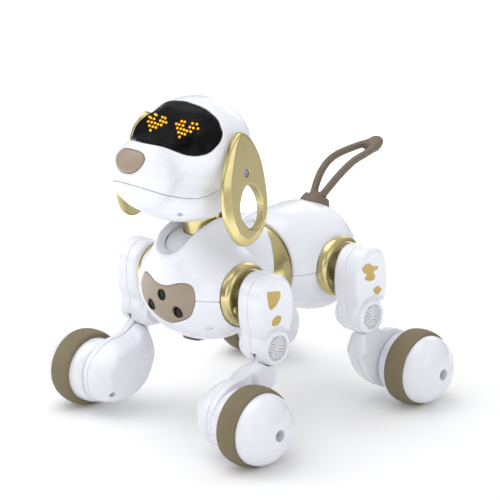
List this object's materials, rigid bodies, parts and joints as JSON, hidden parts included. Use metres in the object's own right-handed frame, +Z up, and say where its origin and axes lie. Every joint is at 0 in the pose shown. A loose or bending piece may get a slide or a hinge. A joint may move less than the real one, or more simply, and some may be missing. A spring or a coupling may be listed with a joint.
{
  "type": "robot dog toy",
  "caption": "Wheeled robot dog toy: round white head with a dark visor and hanging ears, two-part body, looped tail, and hinged legs ending in domed wheels.",
  "frame": {"origin": "on the ground under the middle of the overall box, centred left to right", "axes": "+X is the dog's left side, -Y is the way it faces, +Y is towards the tail, +Z is up"},
  "size_m": [0.24, 0.2796, 0.2542],
  "materials": {
    "white_shell": "glossy moulded white plastic with a faint cool tint",
    "gold_trim": "satin champagne-gold lacquer",
    "taupe_trim": "satin taupe plastic",
    "visor": "gloss black smoked lens with an amber dot display behind it",
    "tyre": "matte taupe rubber",
    "tail_rubber": "soft matte taupe rubber",
    "steel": "turned steel",
    "circuit_board": "green solder mask",
    "inner_plastic": "plain dark moulded plastic",
    "battery": "shrink-wrapped cells"
  },
  "bodies": {
    "torso": {"chest_upper_shell": "white_shell", "chest_lower_shell": "white_shell", "chest_sensor_panel": "taupe_trim", "sensor_board": "circuit_board", "belly_pad": "taupe_trim", "speaker": "inner_plastic", "waist_band": "gold_trim", "rump_upper_shell": "white_shell", "rump_lower_shell": "white_shell", "battery_cover": "white_shell", "battery_pack": "battery", "tail_mount": "tail_rubber", "front_hip_gearbox": "inner_plastic", "rear_hip_gearbox": "inner_plastic", "main_board": "circuit_board", "front_left_hip_ring": "gold_trim", "front_right_hip_ring": "gold_trim", "rear_left_hip_ring": "gold_trim", "rear_right_hip_ring": "gold_trim"},
    "power_switch": {"power_switch": "inner_plastic"},
    "neck": {"neck_shield": "white_shell", "neck_post": "gold_trim"},
    "head": {"head_upper_shell": "white_shell", "head_lower_shell": "white_shell", "visor_lens": "visor", "led_matrix_board": "circuit_board", "nose_pad": "taupe_trim", "ear_screw_left": "steel", "ear_screw_right": "steel"},
    "left_ear": {"ear_left": "gold_trim"},
    "right_ear": {"ear_right": "gold_trim"},
    "tail": {"tail_loop": "tail_rubber"},
    "front_left_upper_leg": {"front_left_thigh_outer": "white_shell", "front_left_thigh_inner": "white_shell", "front_left_knee_grille": "gold_trim"},
    "front_left_lower_leg": {"front_left_shank_outer": "white_shell", "front_left_shank_inner": "white_shell"},
    "front_left_wheel": {"front_left_wheel_hub": "white_shell", "front_left_tyre": "tyre"},
    "front_right_upper_leg": {"front_right_thigh_outer": "white_shell", "front_right_thigh_inner": "white_shell", "front_right_knee_grille": "gold_trim"},
    "front_right_lower_leg": {"front_right_shank_outer": "white_shell", "front_right_shank_inner": "white_shell"},
    "front_right_wheel": {"front_right_wheel_hub": "white_shell", "front_right_tyre": "tyre"},
    "rear_left_upper_leg": {"rear_left_thigh_outer": "white_shell", "rear_left_thigh_inner": "white_shell", "rear_left_knee_grille": "gold_trim"},
    "rear_left_lower_leg": {"rear_left_shank_outer": "white_shell", "rear_left_shank_inner": "white_shell"},
    "rear_left_wheel": {"rear_left_wheel_hub": "white_shell", "rear_left_tyre": "tyre"},
    "rear_right_upper_leg": {"rear_right_thigh_outer": "white_shell", "rear_right_thigh_inner": "white_shell", "rear_right_knee_grille": "gold_trim"},
    "rear_right_lower_leg": {"rear_right_shank_outer": "white_shell", "rear_right_shank_inner": "white_shell"},
    "rear_right_wheel": {"rear_right_wheel_hub": "white_shell", "rear_right_tyre": "tyre"}
  },
  "joints": [
    {"name": "neck_nod", "type": "hinge", "parent": "torso", "child": "neck", "pos_m": [0, -0.06763, 0.12], "axis": [1, 0, 0], "range_deg": [-5, 10]},
    {"name": "head_turn", "type": "hinge", "parent": "neck", "child": "head", "pos_m": [0, -0.06363, 0.16], "axis": [0, 0, 1], "range_deg": [-35, 35]},
    {"name": "left_ear_swing", "type": "hinge", "parent": "head", "child": "left_ear", "pos_m": [0.0532, -0.07313, 0.206], "axis": [0.9867, 0, 0.1628], "range_deg": [-20, 20]},
    {"name": "right_ear_swing", "type": "hinge", "parent": "head", "child": "right_ear", "pos_m": [-0.0532, -0.07313, 0.206], "axis": [0.9867, 0, -0.1628], "range_deg": [-20, 20]},
    {"name": "tail_wag", "type": "hinge", "parent": "torso", "child": "tail", "pos_m": [0, 0.06037, 0.1502], "axis": [0, 0.435, 0.9004], "range_deg": [-15, 15]},
    {"name": "power_slide", "type": "slide", "parent": "torso", "child": "power_switch", "axis": [0, 1, 0], "range_m": [0, 0.004]},
    {"name": "front_left_hip", "type": "hinge", "parent": "torso", "child": "front_left_upper_leg", "pos_m": [0.06, -0.06363, 0.1105], "axis": [1, 0, 0], "range_deg": [-45, 30]},
    {"name": "front_left_knee", "type": "hinge", "parent": "front_left_upper_leg", "child": "front_left_lower_leg", "pos_m": [0.07, -0.06383, 0.077], "axis": [1, 0, 0], "range_deg": [-12, 12]},
    {"name": "front_left_wheel_spin", "type": "hinge", "parent": "front_left_lower_leg", "child": "front_left_wheel", "pos_m": [0.09, -0.10223, 0.03], "axis": [1, 0, 0], "continuous": true},
    {"name": "front_right_hip", "type": "hinge", "parent": "torso", "child": "front_right_upper_leg", "pos_m": [-0.06, -0.06363, 0.1105], "axis": [1, 0, 0], "range_deg": [-45, 30]},
    {"name": "front_right_knee", "type": "hinge", "parent": "front_right_upper_leg", "child": "front_right_lower_leg", "pos_m": [-0.07, -0.06383, 0.077], "axis": [1, 0, 0], "range_deg": [-12, 12]},
    {"name": "front_right_wheel_spin", "type": "hinge", "parent": "front_right_lower_leg", "child": "front_right_wheel", "pos_m": [-0.09, -0.10223, 0.03], "axis": [1, 0, 0], "continuous": true},
    {"name": "rear_left_hip", "type": "hinge", "parent": "torso", "child": "rear_left_upper_leg", "pos_m": [0.06, 0.04037, 0.1105], "axis": [1, 0, 0], "range_deg": [-30, 45]},
    {"name": "rear_left_knee", "type": "hinge", "parent": "rear_left_upper_leg", "child": "rear_left_lower_leg", "pos_m": [0.07, 0.04057, 0.077], "axis": [1, 0, 0], "range_deg": [-12, 12]},
    {"name": "rear_left_wheel_spin", "type": "hinge", "parent": "rear_left_lower_leg", "child": "rear_left_wheel", "pos_m": [0.09, 0.07897, 0.03], "axis": [1, 0, 0], "continuous": true},
    {"name": "rear_right_hip", "type": "hinge", "parent": "torso", "child": "rear_right_upper_leg", "pos_m": [-0.06, 0.04037, 0.1105], "axis": [1, 0, 0], "range_deg": [-30, 45]},
    {"name": "rear_right_knee", "type": "hinge", "parent": "rear_right_upper_leg", "child": "rear_right_lower_leg", "pos_m": [-0.07, 0.04057, 0.077], "axis": [1, 0, 0], "range_deg": [-12, 12]},
    {"name": "rear_right_wheel_spin", "type": "hinge", "parent": "rear_right_lower_leg", "child": "rear_right_wheel", "pos_m": [-0.09, 0.07897, 0.03], "axis": [1, 0, 0], "continuous": true}
  ],
  "couplings": [
    {"joint": "front_right_hip", "follows": "front_left_hip", "ratio": 1},
    {"joint": "rear_right_hip", "follows": "rear_left_hip", "ratio": 1}
  ]
}
